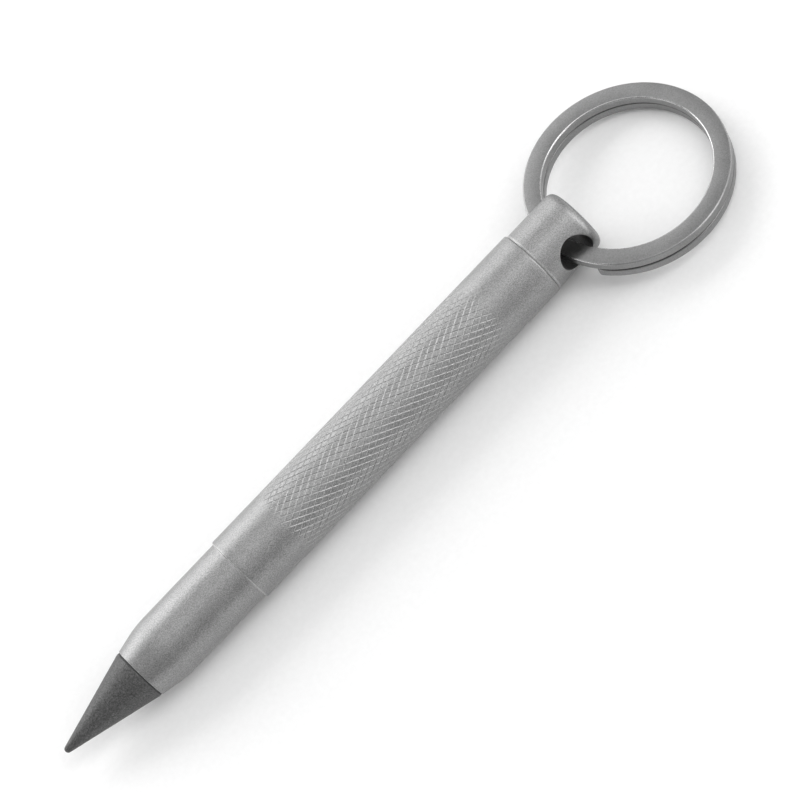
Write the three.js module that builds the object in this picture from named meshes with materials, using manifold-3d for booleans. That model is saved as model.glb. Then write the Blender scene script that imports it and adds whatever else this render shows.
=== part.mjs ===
// A pocket pencil turned from titanium, with a hard graphite-alloy nib.
// It lies on its barrel along X, nib towards -X, with a split ring through the
// cross hole of its end cap. Millimetres, +Z up, floor at z = 0, origin under
// the middle of the whole object's box.
import * as THREE from "three";
import { mergeVertices } from "three/addons/utils/BufferGeometryUtils.js";
import Module from "manifold-3d";

// ---------------------------------------------------------------- dimensions
const SIDES = 48; // facets of every turned surface; one facet faces the floor
const FACE_GAP = 0.02; // between two faces that screw up against each other

// stations along X
const TIP_X = -53.5;
const NIB_LENGTH = 12.5;
const WASHER_T = 0.15;
const NOSE_FRONT_X = TIP_X + NIB_LENGTH + WASHER_T + 2 * FACE_GAP;
const NOSE_TAPER_X = -37.33; // end of the nose's taper
const FRONT_JOINT_X = -24.25; // nose shoulder against the barrel
const REAR_JOINT_X = 25.58; // cap shoulder against the barrel
const HOLE_X = 29.74; // cross hole
const CAP_END_X = 33.19;
const RING_X = 40.75; // centre of the split ring

// outside radii
const BARREL_R = 4.5;
const NOSE_R = 4.25;
const NOSE_FRONT_R = 3.575;
const CAP_R = 4.25;
const NIB_BASE_R = 3.475;
const BARREL_CHAMFER = 0.18;
const CAP_FILLET = 1.04;
const SMALL_CHAMFER = 0.06;

// nib
const NIB_TIP_R = 0.55;
const NIB_HALF_ANGLE = THREE.MathUtils.degToRad(13.9);
const NIB_BASE_CHAMFER = 0.14;
const PIN_R = 1.2; // plain end of the stud, bonded in the nib
const PIN_BORE_R = 1.25;
const PIN_BACK_X = -45.2;
const PIN_BORE_X = -45.3;
const WASHER_IN_R = 2.1;
const WASHER_OUT_R = 3.42;

// M4 x 0.7 between nib and nose: both threads as plain cylinders near the pitch radius
const STUD_R = 1.8;
const STUD_HOLE_R = 1.86;
const STUD_END_X = -34.9;
const STUD_HOLE_X = -34.2;
const DRILL_POINT_X = -33.2;

// M7 x 0.75 at both ends of the barrel, also near the pitch radius
const SPIGOT_R = 3.24;
const SPIGOT_LENGTH = 6.5;
const SPIGOT_CHAMFER = 0.3;
const CAP_SPIGOT_LENGTH = 6.15;
const TAPPED_R = 3.3;
const TAPPED_FRONT_X = -17.2; // where the tapped length ends inside the barrel
const TAPPED_REAR_X = 18.6;
const BORE_R = 3.0;
const COUNTERBORE_R = 3.65;
const COUNTERBORE_DEPTH = 1.78;

// sealing rings in the spigots' grooves
const GROOVE_NEAR = 0.3; // from the shoulder
const GROOVE_WIDTH = 1.0;
const GROOVE_R = 2.72;
const SEAL_R = 0.4; // section
const SEAL_MID_R = 3.18;

// cross hole and split ring
const HOLE_R = 2.3;
const HOLE_ROLL = THREE.MathUtils.degToRad(9); // the hole's near mouth is rolled up by this
const RING_OUT_R = 12.68;
const RING_WIDTH = 2.25; // radial
const COIL_T = 1.26;
const COIL_GAP = 0.1;
const COIL_EDGE = 0.13;
const RING_START = THREE.MathUtils.degToRad(-150.5); // lower coil's free end
const RING_END = THREE.MathUtils.degToRad(519); // upper coil's free end
const STEP_MID = THREE.MathUtils.degToRad(180); // the strand changes level inside the hole
const STEP_HALF = THREE.MathUtils.degToRad(24);
const RING_STEPS = 132;
const RING_DROOP = THREE.MathUtils.degToRad(6.3); // far end down, onto the floor

const AXIS_Z = BARREL_R * Math.cos(Math.PI / SIDES);
const AXIS_Y = 0.37; // the ring hangs this far to one side of the pencil

// ------------------------------------------------------------------- helpers
const wasm = await Module();
wasm.setup();

// A closed three.js geometry as a manifold solid.
function solid(geometry) {
  const g = geometry.clone();
  g.deleteAttribute("normal");
  g.deleteAttribute("uv");
  const merged = mergeVertices(g, 1e-4);
  return new wasm.Manifold(
    new wasm.Mesh({
      numProp: 3,
      vertProperties: Float32Array.from(merged.attributes.position.array),
      triVerts: Uint32Array.from(merged.index.array),
    }),
  );
}

function geometryOf(body) {
  const m = body.getMesh();
  const g = new THREE.BufferGeometry();
  g.setAttribute("position", new THREE.BufferAttribute(Float32Array.from(m.vertProperties), 3));
  g.setIndex(new THREE.BufferAttribute(Uint32Array.from(m.triVerts), 1));
  g.computeVertexNormals();
  return g;
}

// A turned piece about its own Y axis. Points are [station along the pencil,
// radius]; seat is the station that becomes the piece's own origin.
function turned(points, seat) {
  const profile = points.map(([x, r]) => new THREE.Vector2(r, x - seat));
  return new THREE.LatheGeometry(profile, SIDES, Math.PI / SIDES, 2 * Math.PI);
}

function metal(color, roughness, metalness) {
  return new THREE.MeshStandardMaterial({ color, roughness, metalness });
}

function piece(name, geometry, material, seat) {
  const mesh = new THREE.Mesh(geometry, material);
  mesh.name = name;
  mesh.position.set(0, seat, 0);
  return mesh;
}

// ----------------------------------------------------------------- materials
const titanium = () => metal(0x9a9c9e, 0.45, 1.0);
const ringTitanium = () => metal(0x8a8b8d, 0.35, 1.0);
const alloy = () => metal(0x4b4c50, 0.5, 0.8);
const steel = () => metal(0x8f9193, 0.3, 1.0);
const rubber = () => metal(0x151515, 0.8, 0.0);

// ---------------------------------------------------------------------- nib
// Round-tipped cone of marking alloy with a blind bore in its back.
function nibCone() {
  const back = TIP_X + NIB_LENGTH;
  const p = [[TIP_X, 0]];
  const centre = TIP_X + NIB_TIP_R;
  const last = Math.PI / 2 - NIB_HALF_ANGLE;
  for (let i = 1; i <= 6; i++) {
    const a = (last * i) / 6;
    p.push([centre - NIB_TIP_R * Math.cos(a), NIB_TIP_R * Math.sin(a)]);
  }
  p.push([back - NIB_BASE_CHAMFER - 0.15, NIB_BASE_R - 0.01]);
  p.push([back - NIB_BASE_CHAMFER, NIB_BASE_R]);
  p.push([back, NIB_BASE_R - NIB_BASE_CHAMFER]);
  p.push([back, PIN_BORE_R], [PIN_BORE_X, PIN_BORE_R], [PIN_BORE_X, 0]);
  return turned(p, back);
}

// Stud that carries the nib: plain pin forward, threaded shank back.
function nibStud() {
  const shoulder = TIP_X + NIB_LENGTH + FACE_GAP;
  return turned(
    [
      [PIN_BACK_X, 0],
      [PIN_BACK_X, PIN_R - 0.15],
      [PIN_BACK_X + 0.15, PIN_R],
      [shoulder, PIN_R],
      [shoulder, STUD_R],
      [STUD_END_X - 0.3, STUD_R],
      [STUD_END_X, STUD_R - 0.3],
      [STUD_END_X, 0],
    ],
    shoulder,
  );
}

// Thin dark washer that shows as the line behind the nib.
function nibWasher() {
  const x0 = TIP_X + NIB_LENGTH + FACE_GAP;
  const x1 = x0 + WASHER_T;
  return turned(
    [
      [x0, WASHER_IN_R],
      [x0, WASHER_OUT_R],
      [x1, WASHER_OUT_R],
      [x1, WASHER_IN_R],
      [x0, WASHER_IN_R],
    ],
    x0,
  );
}

// --------------------------------------------------------------- nose section
// Short taper, plain cylinder, then a stepped spigot that screws into the barrel.
function noseSection() {
  const j = FRONT_JOINT_X;
  const slope = (NOSE_R - NOSE_FRONT_R) / (NOSE_TAPER_X - NOSE_FRONT_X);
  return turned(
    [
      [DRILL_POINT_X, 0],
      [STUD_HOLE_X, STUD_HOLE_R],
      [NOSE_FRONT_X, STUD_HOLE_R],
      [NOSE_FRONT_X, NOSE_FRONT_R - SMALL_CHAMFER],
      [NOSE_FRONT_X + SMALL_CHAMFER, NOSE_FRONT_R],
      [NOSE_TAPER_X - 0.6, NOSE_R - 0.6 * slope],
      [NOSE_TAPER_X, NOSE_R - 0.03],
      [NOSE_TAPER_X + 0.6, NOSE_R],
      [j - SMALL_CHAMFER, NOSE_R],
      [j, NOSE_R - SMALL_CHAMFER],
      [j, SPIGOT_R],
      [j + GROOVE_NEAR, SPIGOT_R],
      [j + GROOVE_NEAR, GROOVE_R],
      [j + GROOVE_NEAR + GROOVE_WIDTH, GROOVE_R],
      [j + GROOVE_NEAR + GROOVE_WIDTH, SPIGOT_R],
      [j + SPIGOT_LENGTH - SPIGOT_CHAMFER, SPIGOT_R],
      [j + SPIGOT_LENGTH, SPIGOT_R - SPIGOT_CHAMFER],
      [j + SPIGOT_LENGTH, 0],
    ],
    j,
  );
}

// Rubber ring that lies in a spigot's groove, turned about Y.
function seal() {
  const g = new THREE.TorusGeometry(SEAL_MID_R, SEAL_R, 12, SIDES);
  return g.rotateX(Math.PI / 2);
}

// --------------------------------------------------------------------- barrel
// Tube with a chamfer at each end, a counterbore for the seal, a tapped length
// and a plain storage bore between them.
function barrelTube() {
  const x0 = FRONT_JOINT_X + FACE_GAP;
  const x1 = REAR_JOINT_X - FACE_GAP;
  const c = BARREL_CHAMFER;
  return turned(
    [
      [x0, COUNTERBORE_R],
      [x0, BARREL_R - c],
      [x0 + c, BARREL_R],
      [x1 - c, BARREL_R],
      [x1, BARREL_R - c],
      [x1, COUNTERBORE_R],
      [x1 - COUNTERBORE_DEPTH, COUNTERBORE_R],
      [x1 - COUNTERBORE_DEPTH, TAPPED_R],
      [TAPPED_REAR_X, TAPPED_R],
      [TAPPED_REAR_X, BORE_R],
      [TAPPED_FRONT_X, BORE_R],
      [TAPPED_FRONT_X, TAPPED_R],
      [x0 + COUNTERBORE_DEPTH, TAPPED_R],
      [x0 + COUNTERBORE_DEPTH, COUNTERBORE_R],
      [x0, COUNTERBORE_R],
    ],
    x0,
  );
}

// -------------------------------------------------------------------- end cap
// Spigot forward, rounded end, and a cross hole for the split ring.
function endCap() {
  const j = REAR_JOINT_X;
  const p = [
    [j - CAP_SPIGOT_LENGTH, 0],
    [j - CAP_SPIGOT_LENGTH, SPIGOT_R - SPIGOT_CHAMFER],
    [j - CAP_SPIGOT_LENGTH + SPIGOT_CHAMFER, SPIGOT_R],
    [j - GROOVE_NEAR - GROOVE_WIDTH, SPIGOT_R],
    [j - GROOVE_NEAR - GROOVE_WIDTH, GROOVE_R],
    [j - GROOVE_NEAR, GROOVE_R],
    [j - GROOVE_NEAR, SPIGOT_R],
    [j, SPIGOT_R],
    [j, CAP_R - SMALL_CHAMFER],
    [j + SMALL_CHAMFER, CAP_R],
  ];
  for (let i = 0; i <= 6; i++) {
    const a = (Math.PI / 2) * (i / 6);
    p.push([
      CAP_END_X - CAP_FILLET + CAP_FILLET * Math.sin(a),
      CAP_R - CAP_FILLET + CAP_FILLET * Math.cos(a),
    ]);
  }
  p.push([CAP_END_X, 0]);
  const body = solid(turned(p, j));
  const drill = new THREE.CylinderGeometry(HOLE_R, HOLE_R, 4 * CAP_R, 32)
    .rotateZ(-Math.PI / 2)
    .rotateY(-HOLE_ROLL)
    .translate(0, HOLE_X - j, 0);
  return geometryOf(body.subtract(solid(drill)));
}

// ----------------------------------------------------------------- split ring
// Path of the flat strand: two level coils joined by one step.
class CoilPath extends THREE.Curve {
  getPoint(t, target = new THREE.Vector3()) {
    const a = RING_START + (RING_END - RING_START) * t;
    const r = RING_OUT_R - RING_WIDTH / 2;
    const u = THREE.MathUtils.clamp((a - STEP_MID) / STEP_HALF, -1, 1);
    const level = Math.sin((Math.PI / 2) * u) * 0.5 * (COIL_T + COIL_GAP);
    return target.set(r * Math.cos(a), r * Math.sin(a), level);
  }
  // The strand's section stays upright: thickness along Z, width along the radius.
  computeFrenetFrames(segments) {
    const tangents = [];
    const normals = [];
    const binormals = [];
    for (let i = 0; i <= segments; i++) {
      const p = this.getPointAt(i / segments);
      const t = this.getTangentAt(i / segments);
      const radial = new THREE.Vector3(p.x, p.y, 0).normalize();
      const up = new THREE.Vector3().crossVectors(radial, t).normalize();
      tangents.push(t);
      normals.push(up);
      binormals.push(radial);
    }
    return { tangents, normals, binormals };
  }
}

function splitRing() {
  const t = COIL_T / 2;
  const w = RING_WIDTH / 2;
  const e = COIL_EDGE;
  const section = new THREE.Shape();
  section.moveTo(-t + e, -w);
  section.lineTo(t - e, -w);
  section.lineTo(t, -w + e);
  section.lineTo(t, w - e);
  section.lineTo(t - e, w);
  section.lineTo(-t + e, w);
  section.lineTo(-t, w - e);
  section.lineTo(-t, -w + e);
  section.closePath();
  const path = new CoilPath();
  path.arcLengthDivisions = 1200;
  return new THREE.ExtrudeGeometry(section, {
    steps: RING_STEPS,
    extrudePath: path,
    bevelEnabled: false,
  });
}

// ------------------------------------------------------------------- assembly
const part = new THREE.Group();

// Everything turned stands on this group's Y axis, which lies along X.
const axis = new THREE.Group();
axis.position.set(0, AXIS_Y, AXIS_Z);
axis.rotation.z = -Math.PI / 2;
part.add(axis);

const nibBack = TIP_X + NIB_LENGTH;
const front = new THREE.Group();
front.add(
  piece("nib_cone", nibCone(), alloy(), nibBack),
  piece("nib_stud", nibStud(), steel(), nibBack + FACE_GAP),
  piece("nib_washer", nibWasher(), rubber(), nibBack + FACE_GAP),
  piece("nose_section", noseSection(), titanium(), FRONT_JOINT_X),
  piece("nose_oring", seal(), rubber(), FRONT_JOINT_X + GROOVE_NEAR + GROOVE_WIDTH / 2),
);
const rear = new THREE.Group();
rear.add(
  piece("end_cap", endCap(), titanium(), REAR_JOINT_X),
  piece("cap_oring", seal(), rubber(), REAR_JOINT_X - GROOVE_NEAR - GROOVE_WIDTH / 2),
);
axis.add(
  front,
  piece("barrel", barrelTube(), titanium(), FRONT_JOINT_X + FACE_GAP),
  rear,
);

// The split ring hangs through the cap and rests its far edge on the floor.
const ring = new THREE.Mesh(splitRing(), ringTitanium());
ring.name = "split_ring";
ring.rotation.y = RING_DROOP;
ring.updateMatrix();
const lowest = new THREE.Box3().setFromBufferAttribute(
  ring.geometry.clone().applyMatrix4(ring.matrix).getAttribute("position"),
).min.z;
ring.position.set(RING_X, 0, -lowest);
part.add(ring);

export default part;
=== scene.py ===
"""A pocket pencil of bead-blasted titanium, lying on a pale floor: dark screw-in nib, plain nose,
diamond-knurled barrel, drilled end cap and a flat split ring. Lengths in the code are millimetres
unless a name says otherwise; the meshes are written in metres."""

import math

import bmesh
import bpy
import numpy as np
from mathutils import Matrix, Vector


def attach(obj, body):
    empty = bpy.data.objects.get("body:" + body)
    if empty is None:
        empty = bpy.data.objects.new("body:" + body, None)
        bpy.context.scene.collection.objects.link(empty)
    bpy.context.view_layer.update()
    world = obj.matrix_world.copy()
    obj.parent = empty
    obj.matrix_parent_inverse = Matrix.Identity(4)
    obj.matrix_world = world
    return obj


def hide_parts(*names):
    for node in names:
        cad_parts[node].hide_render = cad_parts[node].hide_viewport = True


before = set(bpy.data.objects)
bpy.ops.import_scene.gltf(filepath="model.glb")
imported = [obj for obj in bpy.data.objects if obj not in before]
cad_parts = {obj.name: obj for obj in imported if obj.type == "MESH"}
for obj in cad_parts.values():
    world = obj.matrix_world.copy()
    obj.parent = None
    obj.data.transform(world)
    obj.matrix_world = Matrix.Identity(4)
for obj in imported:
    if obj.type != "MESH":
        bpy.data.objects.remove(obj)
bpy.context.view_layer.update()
scene = bpy.context.scene

MM = 0.001
TAU = 2 * math.pi
AXIS_Z = 4.5 * math.cos(math.pi / 48)  # height of the pencil's axis above the floor
AXIS_Y = 0.37  # the ring hangs this far to one side of it

# stations and radii, as on the solids
TIP_X = -53.5
NIB_BACK = -41.0
WASHER = (-40.98, -40.83)
NOSE_FRONT = -40.81
NOSE_TAPER = -37.33
FRONT_JOINT = -24.25
REAR_JOINT = 25.58
HOLE_X = 29.74
CAP_END = 33.19
RING_X = 40.75
BARREL_R = 4.49
NOSE_R = 4.25
CAP_R = 4.25
HOLE_R = 2.3
HOLE_ROLL = math.radians(9)
CAP_FILLET = 1.04

# ------------------------------------------------------------------ camera
# Long lens, the object's axis running up to the right across a square frame.
RIGHT = Vector((0.690261, -0.615256, -0.380789))
DOWN = Vector((-0.722705, -0.560665, -0.404168))
FORWARD = Vector((0.035172, 0.55418, -0.831654))
camera_data = bpy.data.cameras.new("view_camera")
camera_data.lens = 180.0
camera_data.sensor_width = 36.0
camera_data.clip_start = 0.02
camera_data.clip_end = 10.0
camera = bpy.data.objects.new("view_camera", camera_data)
rows = [RIGHT, -DOWN, -FORWARD]
turn = Matrix(((rows[0][0], rows[1][0], rows[2][0]), (rows[0][1], rows[1][1], rows[2][1]), (rows[0][2], rows[1][2], rows[2][2])))
camera.matrix_world = Matrix.Translation(Vector((-0.01335, -0.25913, 0.39415))) @ turn.to_4x4()
scene.collection.objects.link(camera)
scene.camera = camera

# ------------------------------------------------------------- light, floor
scene.view_settings.view_transform = "Standard"
scene.view_settings.look = "None"

# brightness of the room from the front wall, over the ceiling, to the back wall
ROOM = [(0.0, 0.0), (0.06, 0.38), (0.18, 0.68), (0.32, 0.69), (0.5, 0.53), (0.7, 0.44), (1.0, 0.39)]


def world_light():
    world = bpy.data.worlds.new("soft_room")
    world.use_nodes = True
    tree = world.node_tree
    place = tree.nodes.new("ShaderNodeTexCoord")
    split = tree.nodes.new("ShaderNodeSeparateXYZ")
    span = tree.nodes.new("ShaderNodeMapRange")
    span.inputs["From Min"].default_value = -1.0
    span.inputs["From Max"].default_value = 1.0
    ramp = tree.nodes.new("ShaderNodeValToRGB")
    ramp.color_ramp.interpolation = "B_SPLINE"
    stops = ramp.color_ramp.elements
    while len(stops) < len(ROOM):
        stops.new(0.5)
    for stop, (at, level) in zip(stops, ROOM):
        stop.position = at
        stop.color = (level, level, level, 1.0)
    tree.links.new(place.outputs["Generated"], split.inputs[0])
    tree.links.new(split.outputs["Y"], span.inputs["Value"])
    tree.links.new(span.outputs["Result"], ramp.inputs["Fac"])
    tree.links.new(ramp.outputs["Color"], tree.nodes["Background"].inputs["Color"])
    side = tree.nodes.new("ShaderNodeMapRange")
    side.inputs["From Min"].default_value = -1.0
    side.inputs["From Max"].default_value = 1.0
    side.inputs["To Min"].default_value = 0.4
    side.inputs["To Max"].default_value = 1.7
    tree.links.new(split.outputs["X"], side.inputs["Value"])
    tree.links.new(side.outputs["Result"], tree.nodes["Background"].inputs["Strength"])
    scene.world = world


def softbox(name, place, target, size, level):
    """A flat light of the given radiance: its watts follow from its area."""
    data = bpy.data.lights.new(name, "AREA")
    data.shape = "RECTANGLE"
    data.size, data.size_y = size
    data.energy = level * math.pi * size[0] * size[1]
    o = bpy.data.objects.new(name, data)
    o.location = Vector(place)
    o.rotation_mode = "QUATERNION"
    o.rotation_quaternion = (Vector(target) - Vector(place)).to_track_quat("-Z", "Y")
    scene.collection.objects.link(o)
    return o


world_light()
softbox("back_left", (-0.36, 0.50, 0.30), (-0.03, 0.0, 0.0), (0.30, 0.44), 2.9)
softbox("back_middle", (-0.08, 0.53, 0.36), (-0.01, 0.0, 0.0), (0.26, 0.44), 2.6)
softbox("back_right", (0.20, 0.53, 0.36), (0.02, 0.0, 0.0), (0.28, 0.44), 1.0)
softbox("back_low", (-0.10, 0.70, 0.09), (-0.01, 0.0, 0.0), (0.70, 0.16), 1.7)
softbox("back_high", (-0.04, 0.42, 0.56), (0.0, 0.0, 0.0), (0.56, 0.14), 0.6)
softbox("top_middle", (0.0, 0.0, 0.75), (0.0, 0.0, 0.0), (0.30, 0.60), 0.65)
softbox("top_right", (0.40, -0.24, 0.62), (0.02, 0.0, 0.0), (0.38, 0.60), 2.1)
softbox("front_right", (0.38, -0.50, 0.20), (0.02, 0.0, 0.0), (0.36, 0.24), 3.1)
softbox("right_side", (0.60, 0.17, 0.15), (0.03, 0.0, 0.0), (0.24, 0.14), 0.9)
softbox("left_side", (-0.60, 0.04, 0.30), (-0.03, 0.0, 0.0), (0.36, 0.30), 1.7)


# ------------------------------------------------------------------ meshes
def smooth(t):
    t = min(max(t, 0.0), 1.0)
    return t * t * (3 - 2 * t)


class Shell:
    """Vertices in mm, each with a value that lightens its colour (wear and painted highlight) and one that darkens it
    (painted shade), and faces.
    """

    def __init__(self):
        self.v, self.wear, self.cavity, self.f = [], [], [], []

    def add(self, p, wear=0.0, cavity=0.0):
        self.v.append(tuple(p))
        self.wear.append(wear)
        self.cavity.append(cavity)
        return len(self.v) - 1

    def polar(self, x, r, a, wear=0.0, cavity=0.0):
        return self.add((x, AXIS_Y + r * math.cos(a), AXIS_Z + r * math.sin(a)), wear, cavity)

    def ring(self, x, r, n, wear=0.0, cavity=0.0, start=0.0):
        return [self.polar(x, r, start + TAU * i / n, wear, cavity) for i in range(n)]

    def face(self, *ids):
        kept = []
        for i in ids:
            if not kept or kept[-1] != i:
                kept.append(i)
        if len(kept) > 1 and kept[0] == kept[-1]:
            kept.pop()
        if len(kept) > 2:
            self.f.append(kept)

    def join(self, a, b, closed=True):
        """Quads between two rows of the same number of vertices."""
        n = len(a)
        for i in range(n if closed else n - 1):
            k = (i + 1) % n
            self.face(a[i], a[k], b[k], b[i])

    def fan(self, ring, tip):
        for i in range(len(ring)):
            self.face(ring[i], ring[(i + 1) % len(ring)], tip)


def softened(points, arc=4):
    """A profile of (x, r, fillet radius) with each corner rounded, as (x, r, lightening), small outside corners painted
    lighter: edge wear and painted highlight.
    """
    out = []
    for k, (x, r, f) in enumerate(points):
        if f <= 0 or k in (0, len(points) - 1):
            out.append((x, r, 0.0))
            continue
        p = Vector((x, r))
        a, b = Vector(points[k - 1][:2]) - p, Vector(points[k + 1][:2]) - p
        la, lb = a.length, b.length
        a, b = a / la, b / lb
        half = math.acos(max(-1.0, min(1.0, a.dot(b)))) / 2
        reach = min(f / max(math.tan(half), 1e-3), 0.48 * la, 0.48 * lb)
        p0, p2 = p + a * reach, p + b * reach
        outside = (a + b).y < 0 and f < 1.0  # a small corner that stands away from the axis
        for i in range(arc + 1):
            t = i / arc
            q = p0 * (1 - t) ** 2 + p * (2 * t * (1 - t)) + p2 * t * t
            out.append((q.x, q.y, (math.sin(math.pi * t) if outside else 0.0)))
    return out


def lathe(s, profile, n, start=0.0, first=None):
    """Rings along a profile of (x, r, lightening: wear and painted highlight). first is a ring that is already there.
    Returns the last ring or pole.
    """
    last = first
    for x, r, *more in profile:
        w = more[0] if more else 0.0
        if r < 1e-6:
            here = s.add((x, AXIS_Y, AXIS_Z), w)
            if isinstance(last, list):
                s.fan(last, here)
        else:
            here = s.ring(x, r, n, w, 0.0, start)
            if isinstance(last, list):
                s.join(last, here)
            elif last is not None:
                s.fan(here, last)
        last = here
    return last


def thread(s, xa, xb, n, pitch, offsets, low, high, start=0.0, cavity_at=None):
    """A right-hand helical thread between x = xa and x = xb, the same screw line for every part on this axis.
    offsets are (mm from the crest, radius) over one pitch. low(x) and high(x) bound the radius, and make it
    constant at each end. Returns the first and the last ring."""
    count = len(offsets)
    ra = min(max(offsets[0][1], low(xa)), high(xa))
    rb = min(max(offsets[0][1], low(xb)), high(xb))
    first = s.ring(xa, ra, n, 0.0, 0.0, start)
    last = s.ring(xb, rb, n, 0.0, 0.0, start)
    deepest = min(r for _, r in offsets)
    highest = max(r for _, r in offsets)
    made = {}

    def vertex(i, k):
        if i == n:
            i, k = 0, k + count
        key = (i, k)
        if key not in made:
            whole, part = divmod(k, count)
            x = pitch * (base + whole + i / n + start / TAU) + offsets[part][0]
            if x <= xa + 1e-6:
                made[key] = first[i]
            elif x >= xb - 1e-6:
                made[key] = last[i]
            else:
                r = min(max(offsets[part][1], low(x)), high(x))
                depth = (highest - r) / (highest - deepest)
                # painted shade darkens the roots of the thread, and on an outside thread a painted highlight lightens
                # the crests
                made[key] = s.polar(x, r, start + TAU * i / n, 0.6 * (1 - depth), depth if cavity_at is None else cavity_at(depth))
        return made[key]

    base = math.floor(xa / pitch) - 2
    turns = math.ceil((xb - xa) / pitch) + 4
    for k in range(turns * count):
        for i in range(n):
            s.face(vertex(i, k), vertex(i + 1, k), vertex(i + 1, k + 1), vertex(i, k + 1))
    return first, last


def thread_form(pitch, mean_r, root_r, crest_r, play):
    """(offset, radius) over one pitch of a 60 degree thread, crest round offset 0, thinner by play each side."""
    def half(r):
        return pitch / 4 - play - (r - mean_r) * math.tan(math.pi / 6)
    top, bottom = half(crest_r), half(root_r)
    mid = (crest_r + root_r) / 2
    return [
        (-top, crest_r), (-0.5 * top, crest_r + 0.0), (0.5 * top, crest_r + 0.0), (top, crest_r),
        (half(mid), mid), (bottom, root_r + 0.015), (bottom + 0.02, root_r),
        (pitch - bottom - 0.02, root_r), (pitch - bottom, root_r + 0.015), (pitch - half(mid), mid),
    ]


def piece(name, s, body, node, material, sharp=38.0):
    """The shell as a closed mesh object in metres, riding on its body in place of its node."""
    bm = bmesh.new()
    wear = bm.verts.layers.float.new("wear")
    cavity = bm.verts.layers.float.new("cavity")
    verts = [bm.verts.new(Vector(p) * MM) for p in s.v]
    for v, w, c in zip(verts, s.wear, s.cavity):
        v[wear], v[cavity] = w, c
    for ids in s.f:
        try:
            bm.faces.new([verts[i] for i in ids])
        except ValueError:
            pass
    bmesh.ops.remove_doubles(bm, verts=bm.verts, dist=0.0004 * MM)
    loose = [v for v in bm.verts if not v.link_faces]
    bmesh.ops.delete(bm, geom=loose, context="VERTS")
    bmesh.ops.recalc_face_normals(bm, faces=bm.faces)
    open_edges = sum(1 for e in bm.edges if len(e.link_faces) != 2)
    if open_edges:
        print(name, "has", open_edges, "edges that don't join two faces")
    if bm.calc_volume(signed=True) < 0:
        bmesh.ops.reverse_faces(bm, faces=bm.faces)
    for f in bm.faces:
        f.smooth = True
    mesh = bpy.data.meshes.new(name)
    bm.to_mesh(mesh)
    bm.free()
    mesh.set_sharp_from_angle(angle=math.radians(sharp))
    mesh.materials.append(material)
    o = bpy.data.objects.new(name, mesh)
    scene.collection.objects.link(o)
    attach(o, body)
    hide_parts(node)
    return o


# --------------------------------------------------------------- materials
class Nodes:
    """A small helper that builds a material's node tree."""

    def __init__(self, name):
        self.material = bpy.data.materials.new(name)
        self.material.use_nodes = True
        self.tree = self.material.node_tree
        self.shader = self.tree.nodes["Principled BSDF"]
        self.coords = self.tree.nodes.new("ShaderNodeTexCoord").outputs["Object"]

    def node(self, kind, **settings):
        n = self.tree.nodes.new(kind)
        for k, v in settings.items():
            setattr(n, k, v)
        return n

    def link(self, a, b):
        self.tree.links.new(a, b)

    def noise(self, scale, detail=2.0, rough=0.5, stretch=None):
        n = self.node("ShaderNodeTexNoise")
        n.inputs["Scale"].default_value = scale
        n.inputs["Detail"].default_value = detail
        n.inputs["Roughness"].default_value = rough
        if stretch:
            m = self.node("ShaderNodeMapping")
            m.inputs["Scale"].default_value = stretch
            self.link(self.coords, m.inputs["Vector"])
            self.link(m.outputs["Vector"], n.inputs["Vector"])
        else:
            self.link(self.coords, n.inputs["Vector"])
        return n.outputs["Fac"]

    def cells(self, scale, feature="F1"):
        n = self.node("ShaderNodeTexVoronoi", feature=feature)
        n.inputs["Scale"].default_value = scale
        self.link(self.coords, n.inputs["Vector"])
        return n

    def span(self, value, a, b, c, d):
        n = self.node("ShaderNodeMapRange")
        n.inputs["From Min"].default_value = a
        n.inputs["From Max"].default_value = b
        n.inputs["To Min"].default_value = c
        n.inputs["To Max"].default_value = d
        self.link(value, n.inputs["Value"])
        return n.outputs["Result"]

    def math(self, op, a, b):
        n = self.node("ShaderNodeMath", operation=op)
        for k, v in enumerate((a, b)):
            if isinstance(v, (int, float)):
                n.inputs[k].default_value = v
            else:
                self.link(v, n.inputs[k])
        return n.outputs[0]

    def attribute(self, name):
        n = self.node("ShaderNodeAttribute", attribute_name=name)
        return n.outputs["Fac"]

    def mix(self, factor, a, b, kind="MIX"):
        n = self.node("ShaderNodeMix", data_type="RGBA", blend_type=kind)
        for socket, v in ((n.inputs[0], factor), (n.inputs[6], a), (n.inputs[7], b)):
            if isinstance(v, (int, float)):
                socket.default_value = v
            elif isinstance(v, tuple):
                socket.default_value = (*v, 1.0)
            else:
                self.link(v, socket)
        return n.outputs[2]

    def grey(self, value):
        n = self.node("ShaderNodeCombineColor")
        for k in range(3):
            self.link(value, n.inputs[k])
        return n.outputs[0]

    def bump(self, height, distance_mm, strength=1.0, after=None):
        n = self.node("ShaderNodeBump")
        n.inputs["Strength"].default_value = strength
        n.inputs["Distance"].default_value = distance_mm * MM
        self.link(height, n.inputs["Height"])
        if after is not None:
            self.link(after, n.inputs["Normal"])
        return n.outputs["Normal"]

    def set(self, **values):
        for k, v in values.items():
            socket = self.shader.inputs[k.replace("_", " ")]
            if isinstance(v, (int, float)):
                socket.default_value = v
            elif isinstance(v, tuple):
                socket.default_value = (*v, 1.0)
            else:
                self.link(v, socket)
        return self.material


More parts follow.
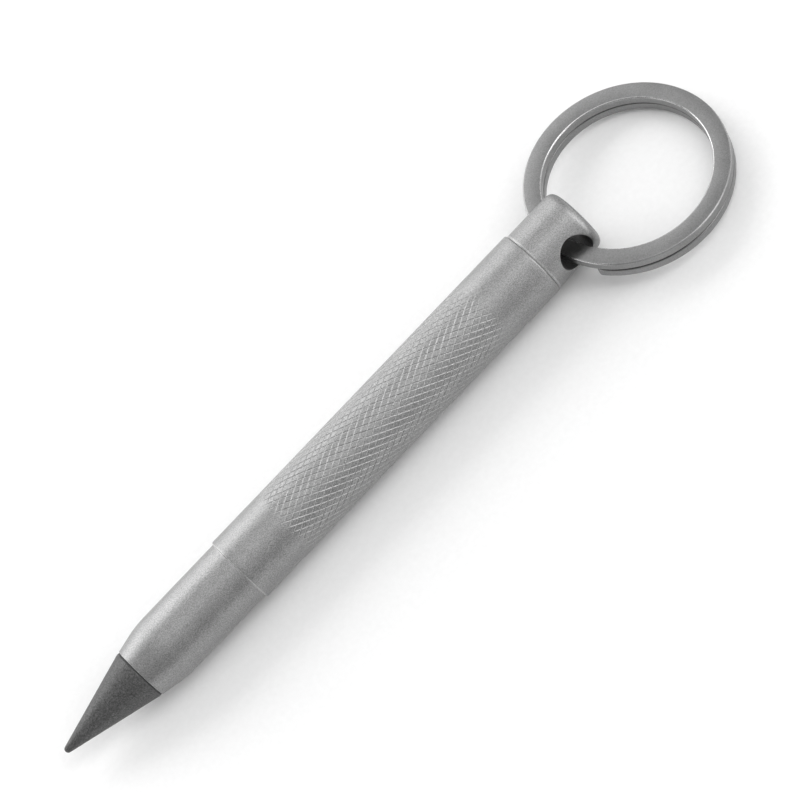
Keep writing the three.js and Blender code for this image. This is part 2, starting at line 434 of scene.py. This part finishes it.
def blasted_titanium():
    m = Nodes("blasted_titanium")
    fine = m.noise(9000.0, 2.0, 0.7)
    grit = m.noise(5200.0, 2.0, 0.65)
    cloud = m.noise(260.0, 3.0, 0.55)
    wear, cavity = m.attribute("wear"), m.attribute("cavity")
    speck = m.math("ADD", m.span(fine, 0.32, 0.68, -1.0, 1.0), m.span(grit, 0.32, 0.68, -0.4, 0.4))
    tone = m.math("MULTIPLY_ADD", speck, 0.30)
    tone_node = tone.node
    tone_node.inputs[2].default_value = 1.0
    patch = m.span(cloud, 0.3, 0.7, 0.96, 1.04)
    tone = m.math("MULTIPLY", tone, patch)
    # lighter where edges, rims, chamfers and groove walls carry wear and painted highlight; darker where painted shade
    # lies in thread roots, groove bottoms and inside the cross hole
    base = m.mix(wear, (0.318, 0.318, 0.318), (0.62, 0.62, 0.62))
    base = m.mix(cavity, base, (0.22, 0.22, 0.22))
    color = m.mix(1.0, base, m.grey(tone), "MULTIPLY")
    rough = m.span(grit, 0.3, 0.7, 0.40, 0.50)
    rough = m.math("SUBTRACT", rough, m.math("MULTIPLY", wear, 0.08))
    normal = m.bump(grit, 0.016)
    normal = m.bump(fine, 0.006, after=normal)
    return m.set(Base_Color=color, Metallic=1.0, Roughness=rough, Normal=normal)


def ring_titanium():
    m = Nodes("ring_titanium")
    fine = m.noise(6500.0, 3.0, 0.6)
    streak = m.noise(1900.0, 2.0, 0.6)
    cloud = m.noise(300.0, 3.0, 0.6)
    wear = m.attribute("wear")
    tone = m.math("MULTIPLY", m.span(fine, 0.3, 0.7, 0.84, 1.16), m.span(cloud, 0.3, 0.7, 0.94, 1.06))
    # lighter on the rounded edges, wear and painted highlight; near black where the coils lie together, painted shade
    # between them
    base = m.mix(wear, (0.268, 0.268, 0.268), (0.50, 0.50, 0.50))
    base = m.mix(m.attribute("cavity"), base, (0.07, 0.07, 0.07))
    color = m.mix(1.0, base, m.grey(tone), "MULTIPLY")
    rough = m.math("SUBTRACT", m.span(streak, 0.3, 0.7, 0.30, 0.40), m.math("MULTIPLY", wear, 0.12))
    normal = m.bump(streak, 0.006)
    normal = m.bump(fine, 0.003, after=normal)
    return m.set(Base_Color=color, Metallic=1.0, Roughness=rough, Normal=normal)


def nib_alloy():
    m = Nodes("nib_alloy")
    fine = m.noise(8200.0, 3.0, 0.7)
    grain = m.noise(4300.0, 3.0, 0.65)
    lines = m.noise(900.0, 3.0, 0.6, stretch=(1.0, 0.12, 0.12))
    wear = m.attribute("wear")
    tone = m.math("MULTIPLY", m.span(fine, 0.3, 0.7, 0.5, 1.5), m.span(grain, 0.3, 0.7, 0.62, 1.38))
    tone = m.math("MULTIPLY", tone, m.span(lines, 0.3, 0.7, 0.95, 1.05))
    base = m.mix(wear, (0.118, 0.118, 0.118), (0.15, 0.15, 0.15))
    color = m.mix(1.0, base, m.grey(tone), "MULTIPLY")
    rough = m.span(grain, 0.3, 0.7, 0.50, 0.62)
    normal = m.bump(grain, 0.020)
    normal = m.bump(fine, 0.008, after=normal)
    return m.set(Base_Color=color, Metallic=0.85, Roughness=rough, Normal=normal)


def turned_steel():
    m = Nodes("turned_steel")
    fine = m.noise(5200.0, 2.0, 0.5)
    lines = m.noise(5200.0, 2.0, 0.6, stretch=(1.0, 0.05, 0.05))
    cavity = m.attribute("cavity")
    # darker in the thread roots: painted shade
    base = m.mix(cavity, (0.50, 0.50, 0.50), (0.30, 0.30, 0.30))
    color = m.mix(1.0, base, m.grey(m.span(fine, 0.3, 0.7, 0.94, 1.06)), "MULTIPLY")
    rough = m.span(lines, 0.3, 0.7, 0.22, 0.34)
    return m.set(Base_Color=color, Metallic=1.0, Roughness=rough, Normal=m.bump(lines, 0.004))


def seal_rubber():
    m = Nodes("seal_rubber")
    fine = m.noise(5200.0, 2.0, 0.5)
    color = m.mix(m.span(fine, 0.3, 0.7, 0.0, 1.0), (0.036, 0.036, 0.036), (0.054, 0.054, 0.054))
    rough = m.span(fine, 0.3, 0.7, 0.48, 0.62)
    return m.set(Base_Color=color, Metallic=0.0, Roughness=rough, Normal=m.bump(fine, 0.003))


def floor_board():
    m = Nodes("pale_floor")
    fine = m.noise(1400.0, 3.0, 0.6)
    color = m.mix(m.span(fine, 0.3, 0.7, 0.0, 1.0), (0.895, 0.895, 0.895), (0.925, 0.925, 0.925))
    return m.set(Base_Color=color, Metallic=0.0, Roughness=0.9, Normal=m.bump(fine, 0.01))


TITANIUM = blasted_titanium()
RING_METAL = ring_titanium()
ALLOY = nib_alloy()
STEEL = turned_steel()
RUBBER = seal_rubber()

floor_mesh = bpy.data.meshes.new("pale_floor")
half = 2.5
floor_mesh.from_pydata([(-half, -half, 0), (half, -half, 0), (half, half, 0), (-half, half, 0)], [], [(0, 1, 2, 3)])
floor_mesh.materials.append(floor_board())
floor = bpy.data.objects.new("pale_floor", floor_mesh)
scene.collection.objects.link(floor)


# --------------------------------------------------------------------- nib
def nib():
    """Cone of marking alloy: a rounded, slightly flattened point, a faint draw to the cone, soft base edge."""
    s = Shell()
    n = 128
    base_r, half_angle, tip_r = 3.475, math.radians(13.9), 0.46
    profile = [(TIP_X, 0.0)]
    centre = TIP_X + tip_r
    for i in range(1, 9):
        a = (math.pi / 2 - half_angle) * i / 8
        profile.append((centre - tip_r * math.cos(a), tip_r * math.sin(a), 0.5 * (1 - i / 8)))
    start_x, start_r = profile[-1][0], profile[-1][1]
    end_x, end_r = NIB_BACK - 0.29, base_r - 0.01
    for i in range(1, 15):
        t = i / 14
        profile.append((start_x + (end_x - start_x) * t, start_r + (end_r - start_r) * t, 0.0))
    profile += [(NIB_BACK - 0.1, base_r, 0.0), (NIB_BACK - 0.045, base_r - 0.006, 0.1),
                (NIB_BACK - 0.018, base_r - 0.02, 0.2), (NIB_BACK - 0.004, base_r - 0.045, 0.1),
                (NIB_BACK, base_r - 0.065, 0.0), (NIB_BACK, 1.35, 0.0), (NIB_BACK - 0.1, 1.25, 0.0),
                (-45.25, 1.25, 0.0), (-45.3, 1.2, 0.0), (-45.45, 0.0)]
    lathe(s, profile, n)
    return piece("marking_nib", s, "nib", "nib_cone", ALLOY)


def stud():
    """Plain pin in the nib, then an M4 x 0.7 threaded shank that screws into the nose."""
    s = Shell()
    n = 72
    shoulder = NIB_BACK + 0.02
    front = softened([(-45.2, 0, 0), (-45.2, 1.05, 0), (-45.05, 1.2, 0.05), (shoulder, 1.2, 0), (shoulder, 1.72, 0.04),
                      (shoulder + 0.1, 1.8, 0.02), (shoulder + 0.45, 1.8, 0.03), (shoulder + 0.55, 1.6, 0)])
    last = lathe(s, front, n)
    x0, x1 = shoulder + 0.75, -35.0
    form = thread_form(0.7, 1.7727, 1.6, 1.96, 0.02)
    first, end = thread(s, x0, x1, n, 0.7, form, lambda x: 0.0,
                        lambda x: max(1.6, min(1.6 + (x - x0) * 1.2, 1.6 + (x1 - x) * 0.9)))
    s.join(last, first)
    lathe(s, [(-34.92, 1.55, 0.0), (-34.9, 1.45, 0.0), (-34.9, 0.0)], n, first=end)
    return piece("threaded_stud", s, "nib", "nib_stud", STEEL)


def washer():
    s = Shell()
    n = 128
    x0, x1 = WASHER
    ring = [s.ring(x, r, n) for x, r in ((x0, 2.12), (x0, 3.43), (x0 + 0.02, 3.45), (x1 - 0.02, 3.45), (x1, 3.43), (x1, 2.12), (x1 - 0.02, 2.1), (x0 + 0.02, 2.1))]
    for k in range(len(ring)):
        s.join(ring[k], ring[(k + 1) % len(ring)])
    return piece("nib_seat_washer", s, "nib_seat", "nib_washer", RUBBER)


# -------------------------------------------------------------------- nose
def spigot(s, last, face_x, way, length, n, start=0.0):
    """From the shoulder ring at face_x along way (+1 or -1): groove, M7 x 0.75 thread, chamfered end. Ends on the axis."""
    g = softened([(face_x, 4.0, 0), (face_x, 3.24, 0.03), (face_x + way * 0.3, 3.24, 0.04), (face_x + way * 0.3, 2.72, 0.05),
                  (face_x + way * 1.3, 2.72, 0.05), (face_x + way * 1.3, 3.24, 0.04), (face_x + way * 1.55, 3.24, 0.03),
                  (face_x + way * 1.75, 3.06, 0.0)])[1:]
    last = lathe(s, g, n, start, first=last)
    a, b = sorted((face_x + way * 1.85, face_x + way * (length - 0.05)))
    form = thread_form(0.75, 3.2564, 3.06, 3.46, 0.02)
    first, end = thread(s, a, b, n, 0.75, form, lambda x: 0.0,
                        lambda x: max(3.06, min(3.06 + (x - a) * 0.9, 3.06 + (b - x) * 0.9)), start)
    near, far = (first, end) if way > 0 else (end, first)
    s.join(last, near)
    tip = face_x + way * length
    lathe(s, [(tip - way * 0.03, 3.0, 0.0), (tip, 2.9, 0.0), (tip, 1.5, 0.0), (tip, 0.0)], n, start, first=far)


def nose():
    s = Shell()
    n = 128
    j = FRONT_JOINT
    slope = (NOSE_R - 3.575) / (NOSE_TAPER - NOSE_FRONT)
    form = thread_form(0.7, 1.7727, 1.65, 2.0, -0.02)
    x0, x1 = -40.66, -34.3
    first, end = thread(s, x0, x1, n, 0.7, form, lambda x: max(0.0, 2.02 - (x - x0) * 0.9),
                        lambda x: max(1.65, min(2.1, 1.65 + (x1 - x) * 1.2)), cavity_at=lambda d: 1 - d)
    lathe(s, [(-34.25, 1.62, 0.0), (-33.45, 0.4, 0.0), (-33.3, 0.0)], n, first=end)
    outside = softened([
        (x0, 2.02, 0), (NOSE_FRONT, 2.14, 0.03), (NOSE_FRONT, 3.56, 0.06),
        (NOSE_TAPER, NOSE_R, 14.0), (j, NOSE_R, 0.015), (j, 3.24, 0)], 8)[1:-1]
    # the long straight runs get rings of their own
    dense = []
    for k, p in enumerate(outside):
        if k and p[0] - outside[k - 1][0] > 1.0:
            q = outside[k - 1]
            steps = int((p[0] - q[0]) / 0.6)
            dense += [(q[0] + (p[0] - q[0]) * i / steps, q[1] + (p[1] - q[1]) * i / steps, 0.0) for i in range(1, steps)]
        dense.append(p)
    for k, (x, r, w) in enumerate(dense):
        if x > j - 0.1:  # the rear rim, painted lighter as a painted highlight
            dense[k] = (x, r, 0.5)
    dense.insert(len(dense) - sum(1 for q in dense if q[0] > j - 0.1), (j - 0.11, NOSE_R, 0.0))
    last = lathe(s, dense, n, first=first)
    spigot(s, last, j, 1, 6.5, n)
    return piece("nose_body", s, "nose", "nose_section", TITANIUM)


def seal(name, x, body, node):
    s = Shell()
    n, m = 128, 20
    rings = []
    for k in range(m):
        a = TAU * k / m
        rings.append(s.ring(x + 0.4 * math.cos(a), 3.18 + 0.4 * math.sin(a), n))
    for k in range(m):
        s.join(rings[k], rings[(k + 1) % m])
    return piece(name, s, body, node, RUBBER)


# ------------------------------------------------------------------ barrel
STARTS = 35  # grooves of each hand round the barrel
ROW = 0.75  # half the axial pitch of a groove
KNURL_X = -17.95
KNURL_ROWS = 51
KNURL_DEPTH = 0.045
KNURL_FADE = ((0.4, 2.4), (0.6, 4.6))  # mm from the front and rear end where the grooves begin and reach full depth
# Across one diamond: place, depth, lightening (painted highlight) and darkening (painted shade). One side of each
# groove is wider than the other and painted lighter, a painted highlight for the light its walls catch; the groove
# bottoms get faint painted shade.
GROOVE = [0.0, 0.05, 0.10, 0.12, 0.5, 0.845, 0.87, 0.935, 1.0]
GROOVE_DEPTH = [1.0, 0.5, 0.0, 0.0, 0.0, 0.0, 0.0, 0.5, 1.0]
GROOVE_PAINTED_HIGHLIGHT = [0.2, 0.2, 0.1, 0.0, 0.0, 0.0, 0.24, 0.32, 0.2]
GROOVE_PAINTED_SHADE = [0.03, 0.0, 0.0, 0.0, 0.0, 0.0, 0.0, 0.0, 0.03]


def knurl(s, n):
    """Lattice of diamonds between two crossed sets of helical V grooves, fading out at both ends,
    with half diamonds that lead to a plain ring of n vertices at each end."""
    step = TAU / STARTS
    end_x = KNURL_X + KNURL_ROWS * ROW
    last = len(GROOVE) - 1
    made = {}

    def vertex(k, j, a, b):
        turn = j + 0.5 * (k % 2) + (GROOVE[a] - GROOVE[b]) / 2
        x = KNURL_X + ROW * (k + GROOVE[a] + GROOVE[b])
        key = (round(x * 4000), round(turn * 4000) % (STARTS * 4000))
        if key not in made:
            (f0, f1), (r0, r1) = KNURL_FADE
            ramp = smooth((x - KNURL_X - f0) / (f1 - f0)) * smooth((end_x - x - r0) / (r1 - r0))
            ramp *= 1 - 0.22 * (x - KNURL_X) / (end_x - KNURL_X)
            # the painted highlight on the groove walls varies a little along and round the barrel and is weaker on one
            # family of grooves
            uneven = 0.8 + 0.2 * math.sin(0.83 * x + 1.9 * math.sin(turn * step * 3)) * math.sin(0.47 * x - turn * step * 2)
            deep = max(GROOVE_DEPTH[a], GROOVE_DEPTH[b])
            wear = max(0.8 * GROOVE_PAINTED_HIGHLIGHT[a], GROOVE_PAINTED_HIGHLIGHT[b])
            painted_groove_shade = max(GROOVE_PAINTED_SHADE[a], GROOVE_PAINTED_SHADE[b]) * (1 - wear)
            made[key] = s.polar(x, BARREL_R - KNURL_DEPTH * ramp * deep, turn * step, wear * ramp * uneven, painted_groove_shade * ramp)
        return made[key]

    for k in range(KNURL_ROWS - 1):
        for j in range(STARTS):
            for a in range(last):
                for b in range(last):
                    s.face(vertex(k, j, a, b), vertex(k, j, a + 1, b), vertex(k, j, a + 1, b + 1), vertex(k, j, a, b + 1))
    each = n // STARTS
    for row, way in ((0, 1), (KNURL_ROWS, -1)):
        for j in range(STARTS):
            lower = j + 0.5 * (row % 2)
            lines = []
            for t in GROOVE:
                turns = [lower + t / 2 + (1 - t) * q / each for q in range(each + 1)]
                lines.append([s.polar(KNURL_X + ROW * (row + way * t), BARREL_R, u * step) for u in turns])
            for m in range(last):
                for q in range(each):
                    s.face(lines[m][q], lines[m][q + 1], lines[m + 1][q + 1], lines[m + 1][q])


def barrel_end(x, way):
    """Profile from the counterbore's mouth over a small chamfer to the outside. The edge at the chamfer's foot is
    painted a little lighter at both ends and the front chamfer much lighter: painted highlight.
    """
    low = NOSE_R + 0.004
    # the front chamfer is painted much lighter, a painted highlight where it catches the light
    edge_wear_and_highlight = 0.9 if way > 0 else 0.0
    return [(x + way * 0.06, 3.65, 0.0), (x + way * 0.01, 3.69, 0.0), (x, 3.71, 0.0), (x, low - 0.1, 0.0),
            (x - way * 0.014, low - 0.06, 0.3), (x - way * 0.014, low, edge_wear_and_highlight), (x - way * 0.008, low + 0.05, edge_wear_and_highlight),
            (x + way * 0.015, low + 0.115, edge_wear_and_highlight), (x + way * 0.06, low + 0.17, edge_wear_and_highlight), (x + way * 0.12, low + 0.21, 0.5 * edge_wear_and_highlight),
            (x + way * 0.19, low + 0.23, 0.0), (x + way * 0.27, BARREL_R, 0.0), (x + way * 1.0, BARREL_R, 0.0)]


def barrel():
    s = Shell()
    n = 4 * STARTS
    x0, x1 = FRONT_JOINT + 0.02, REAR_JOINT - 0.02
    knurl(s, n)
    end_x = KNURL_X + KNURL_ROWS * ROW
    front = barrel_end(x0, 1)
    front += [(x0 + 1.0 + (KNURL_X - x0 - 1.0) * i / 8, BARREL_R, 0.0) for i in range(1, 9)]
    lathe(s, front, n)
    rear = [(end_x + (x1 - 1.0 - end_x) * i / 8, BARREL_R, 0.0) for i in range(0, 8)]
    rear += barrel_end(x1, -1)[::-1]
    lathe(s, rear, n)
    # inside: counterbore, M7 x 0.75 thread, plain bore, thread, counterbore
    form = thread_form(0.75, 3.2564, 3.1, 3.5, -0.02)
    a0, a1, b0, b1 = x0 + 1.82, -17.25, 18.65, x1 - 1.82
    mouth = lathe(s, [(x0 + 0.06, 3.65, 0.0), (x0 + 1.74, 3.65, 0.0), (x0 + 1.79, 3.6, 0.0)], n)
    t0, t1 = thread(s, a0, a1, n, 0.75, form, lambda x: max(0.0, 3.52 - (x - a0) * 0.9),
                    lambda x: max(3.1, min(3.56, 3.1 + (a1 - x) * 1.0)), cavity_at=lambda d: 1 - d)
    s.join(mouth, t0)
    bore = [(-17.2, 3.08, 0.0), (-17.1, 3.0, 0.0), (-8.0, 3.0, 0.0), (0.0, 3.0, 0.0), (9.0, 3.0, 0.0), (18.5, 3.0, 0.0), (18.6, 3.08, 0.0)]
    middle = lathe(s, bore, n, first=t1)
    u0, u1 = thread(s, b0, b1, n, 0.75, form, lambda x: max(0.0, 3.52 - (b1 - x) * 0.9),
                    lambda x: max(3.1, min(3.56, 3.1 + (x - b0) * 1.0)), cavity_at=lambda d: 1 - d)
    s.join(middle, u0)
    lathe(s, [(x1 - 1.79, 3.6, 0.0), (x1 - 1.74, 3.65, 0.0), (x1 - 0.06, 3.65, 0.0)], n, first=u1)
    return piece("knurled_barrel", s, "barrel", "barrel", TITANIUM, sharp=26.0)


# --------------------------------------------------------------------- cap
def end_cap():
    """Cylinder with a rounded end and a cross hole, whose rim is broken by a small round edge,
    and a threaded spigot forward."""
    s = Shell()
    n = 128
    j = REAR_JOINT
    mouth = math.pi - HOLE_ROLL
    fillet_x = CAP_END - CAP_FILLET

    def skin(u, a):
        """The outer surface by arc length u along the profile and angle a, as a vertex position."""
        if u <= fillet_x:
            x, r = u, CAP_R
        else:
            b = (u - fillet_x) / CAP_FILLET
            x, r = fillet_x + CAP_FILLET * math.sin(b), CAP_R - CAP_FILLET + CAP_FILLET * math.cos(b)
        return (x, AXIS_Y + r * math.cos(a), AXIS_Z + r * math.sin(a))

    u_left, u_right = 26.75, fillet_x + 0.75
    nx = 22
    rows = [j + 0.4 + (u_left - j - 0.4) * i / 3 for i in range(3)]
    first_patch = len(rows)
    rows += [u_left + (u_right - u_left) * i / nx for i in range(nx + 1)]
    last_patch = len(rows) - 1
    u_end = fillet_x + CAP_FILLET * math.pi / 2
    edge_rows = [u_right + (u_end - u_right) * t for t in (0.02, 0.05, 0.09, 0.13, 0.3, 0.5, 0.7, 0.85, 1.0)]
    # two rows round the end's rounding are painted lighter: a painted highlight line
    painted_highlight_row = len(rows) + 1
    rows += edge_rows
    reach = 16  # half the patch round a mouth, in steps of the circle

    def in_patch(i, inner=False):
        d = i % (n // 2)
        d = min(d, n // 2 - d)
        return d < reach if inner else d <= reach

    grid = {}
    for k, u in enumerate(rows):
        for i in range(n):
            if first_patch < k < last_patch and in_patch(i, True):
                continue
            grid[k, i] = s.add(skin(u, mouth + TAU * i / n), 0.3 if k in (painted_highlight_row, painted_highlight_row + 1) else 0.0)
    for k in range(len(rows) - 1):
        for i in range(n):
            inside = first_patch <= k < last_patch and in_patch(i) and in_patch(i + 1)
            if not inside:
                s.face(grid[k, i], grid[k, (i + 1) % n], grid[k + 1, (i + 1) % n], grid[k + 1, i])
    # round each mouth: rings of the skin that run from the rim out to the patch's rectangle
    loop = [(first_patch, d) for d in range(-reach, reach)]
    loop += [(k, reach) for k in range(first_patch, last_patch)]
    loop += [(last_patch, d) for d in range(reach, -reach, -1)]
    loop += [(k, -reach) for k in range(last_patch, first_patch, -1)]
    break_r = 0.2
    walls = []
    for side in (0, 1):
        way = 1 if side == 0 else -1
        centre = mouth + math.pi * side
        out_dir = (math.cos(centre), math.sin(centre))
        lat_dir = (-math.sin(centre), math.cos(centre))
        lines = []
        for k, d in loop:
            u, da = rows[k], way * d * TAU / n
            theta = math.atan2(CAP_R * math.sin(da), u - HOLE_X)

            def on_skin(rho):
                return HOLE_X + rho * math.cos(theta), math.asin(rho * math.sin(theta) / CAP_R)

            line = [grid[k, (n // 2 * side + way * d) % n]]
            u0, a0 = on_skin(HOLE_R + break_r)
            for m in range(7, -1, -1):
                t = (m / 8) ** 1.25
                line.append(s.add(skin(u0 + (u - u0) * t, centre + a0 + (da - a0) * t)))
            p0 = Vector(skin(u0, centre + a0))
            lateral = HOLE_R * math.sin(theta)
            height = math.sqrt(CAP_R ** 2 - lateral ** 2)

            def at(h, x=HOLE_X + HOLE_R * math.cos(theta), side_y=lateral, lat=lat_dir, out=out_dir):
                return Vector((x, AXIS_Y + side_y * lat[0] + h * out[0], AXIS_Z + side_y * lat[1] + h * out[1]))

            corner, p2 = at(height), at(height - break_r)
            for m in range(1, 6):
                t = m / 5
                # the rounded rim of the hole is painted lighter: edge wear and painted highlight
                line.append(s.add(p0 * (1 - t) ** 2 + corner * (2 * t * (1 - t)) + p2 * t * t, 0.25 * math.sin(math.pi * t) ** 0.7))
            lines.append((line, at, height - break_r))
        for a in range(len(lines)):
            one, two = lines[a][0], lines[(a + 1) % len(lines)][0]
            s.join(one, two, closed=False)
        walls.append(lines)
    # the wall between the mouths; the loops run the same way in space, so their lines pair up
    runs = []
    for (near, at, h), (far, _, _) in zip(walls[0], walls[1]):
        steps = 12
        # the wall inside the hole is painted darker towards its middle: painted shade
        run = [near[-1]] + [s.add(at(h * (1 - 2 * m / steps)), 0.0, 1.0 - abs(1 - 2 * m / steps)) for m in range(1, steps)] + [far[-1]]
        runs.append(run)
    for a in range(len(runs)):
        s.join(runs[a], runs[(a + 1) % len(runs)], closed=False)
    # end face, shoulder and spigot
    last = [grid[len(rows) - 1, i] for i in range(n)]
    lathe(s, [(CAP_END, 2.9, 0.0), (CAP_END, 1.6, 0.0), (CAP_END, 0.0)], n, mouth, first=last)
    # next to the seam the cap is painted lighter: a painted highlight laid over the shade the barrel's step casts there
    shoulder = [(j + 0.34, CAP_R, 0.0), (j + 0.29, CAP_R, 0.0), (j + 0.24, CAP_R - 0.001, 0.35), (j + 0.17, CAP_R - 0.003, 0.35),
                (j + 0.12, CAP_R - 0.004, 0.25), (j + 0.01, CAP_R - 0.006, 0.3), (j, CAP_R - 0.012, 0.3), (j, 3.6, 0.0)]
    last = lathe(s, shoulder, n, mouth, first=[grid[0, i] for i in range(n)])
    spigot(s, last, j, -1, 6.15, n, mouth)
    return piece("drilled_cap", s, "cap", "end_cap", TITANIUM)


# -------------------------------------------------------------------- ring
def split_ring():
    """One flat strand wound nearly two turns. The coils touch over the far half and open a little
    towards the free ends; the strand changes level inside the cap's hole."""
    s = Shell()
    width, thick, edge = 2.25, 1.26, 0.20
    mid_r = 12.68 - width / 2
    a0, a1 = math.radians(-150.5), math.radians(519)
    step_mid, step_half = math.radians(180), math.radians(24)
    droop = math.radians(6.3)
    centre = Vector((RING_X, 0.0, 2.6792))
    corner = 5
    turn = Matrix.Rotation(droop, 3, "Y")

    def gap(a):
        """Gap between the coils at an angle from -180 to 180 degrees round the ring."""
        d = math.degrees((a + math.pi) % TAU - math.pi)
        near = smooth((-d - 40) / 50) if d < 0 else smooth((d - 70) / 60)
        return 0.03 + 0.10 * near

    def level(a):
        low = -0.68
        high = 0.58 + gap(a)
        u = min(max((a - step_mid) / step_half, -1), 1)
        return low + (high - low) * (0.5 + 0.5 * math.sin(math.pi / 2 * u))

    def shut(a):
        """1 where another coil lies against this one, 0 beyond the free ends and at the step."""
        d = math.degrees(a)
        if a < math.pi:
            return smooth((d + 150.5) / 6) * smooth((158 - d) / 10)
        return smooth((d - 209) / 10) * smooth((519 - d) / 6)

    def rim(a):
        """How much lighter the upper outer edge is: most towards the cap, about half that over another short stretch,
        little elsewhere.
        """
        d = math.degrees((a + math.pi) % TAU - math.pi)
        return 0.15 + 0.85 * smooth((-136 - d) / 10) if d < -60 else 0.15 + 0.45 * smooth((d + 60) / 20) * smooth((0 - d) / 20)

    def ca_up(m, q):
        """How far round the corner towards the other coil a vertex lies, 0 to 1."""
        b = m / corner
        return (1 - b) if q in (0, 2) else b

    def section(a, half_w, half_t, e, shift=0.0):
        c, up = level(a), Vector((0, 0, 1))
        radial = Vector((math.cos(a), math.sin(a), 0))
        tangent = Vector((-math.sin(a), math.cos(a), 0))
        base = radial * mid_r + up * c + tangent * shift
        ids = []
        for q, (sr, sz) in enumerate(((1, -1), (1, 1), (-1, 1), (-1, -1))):
            for m in range(corner + 1):
                b = math.pi / 2 * (m / corner)
                ca, sa = (math.sin(b), math.cos(b)) if q in (0, 2) else (math.cos(b), math.sin(b))
                r = sr * (half_w - e + e * ca)
                z = sz * (half_t - e + e * sa)
                p = turn @ (base + radial * r + up * z) + centre
                # rounded edges are painted lighter, edge wear and painted highlight, except where the other coil lies
                # against them; there the faces get painted shade between the coils
                inner = shut(a) if (sz > 0) == (a < math.pi) else 0.0
                edge_wear_and_highlight = (1 - inner) * (rim(a) if q == 1 else 1.0)
                ids.append(s.add(p, edge_wear_and_highlight * math.sin(2 * b) ** 0.6 if 0 < m < corner else 0.0, inner * ca_up(m, q)))
        return ids

    angles = list(np.linspace(a0, a1, 421))
    rc, rt = 0.55, 0.42
    arc = mid_r * (angles[1] - angles[0])
    sections = []

    def rounded(e):
        e = max(e, 0.0)
        w = width / 2 - (rc - math.sqrt(max(rc * rc - (rc - min(e, rc)) ** 2, 0.0)))
        t = thick / 2 - (rt - math.sqrt(max(rt * rt - (rt - min(e, rt)) ** 2, 0.0)))
        return w, t

    tips = [0.0, 0.008, 0.03, 0.07, 0.12, 0.18, 0.25, 0.33, 0.42, 0.52]
    for e in tips:
        w, t = rounded(e)
        sections.append(section(a0 + e / mid_r, w, t, min(edge, 0.9 * t)))
    for a in angles:
        if (a - a0) * mid_r > 0.6 and (a1 - a) * mid_r > 0.6:
            sections.append(section(a, width / 2, thick / 2, edge))
    for e in reversed(tips):
        w, t = rounded(e)
        sections.append(section(a1 - e / mid_r, w, t, min(edge, 0.9 * t)))
    for one, two in zip(sections, sections[1:]):
        s.join(one, two)
    s.face(*sections[0])
    s.face(*reversed(sections[-1]))
    return piece("flat_key_ring", s, "ring", "split_ring", RING_METAL, sharp=45.0)


nib()
stud()
washer()
nose()
seal("nose_seal_ring", FRONT_JOINT + 0.8, "nose_seal", "nose_oring")
barrel()
seal("cap_seal_ring", REAR_JOINT - 0.8, "cap_seal", "cap_oring")
end_cap()
split_ring()
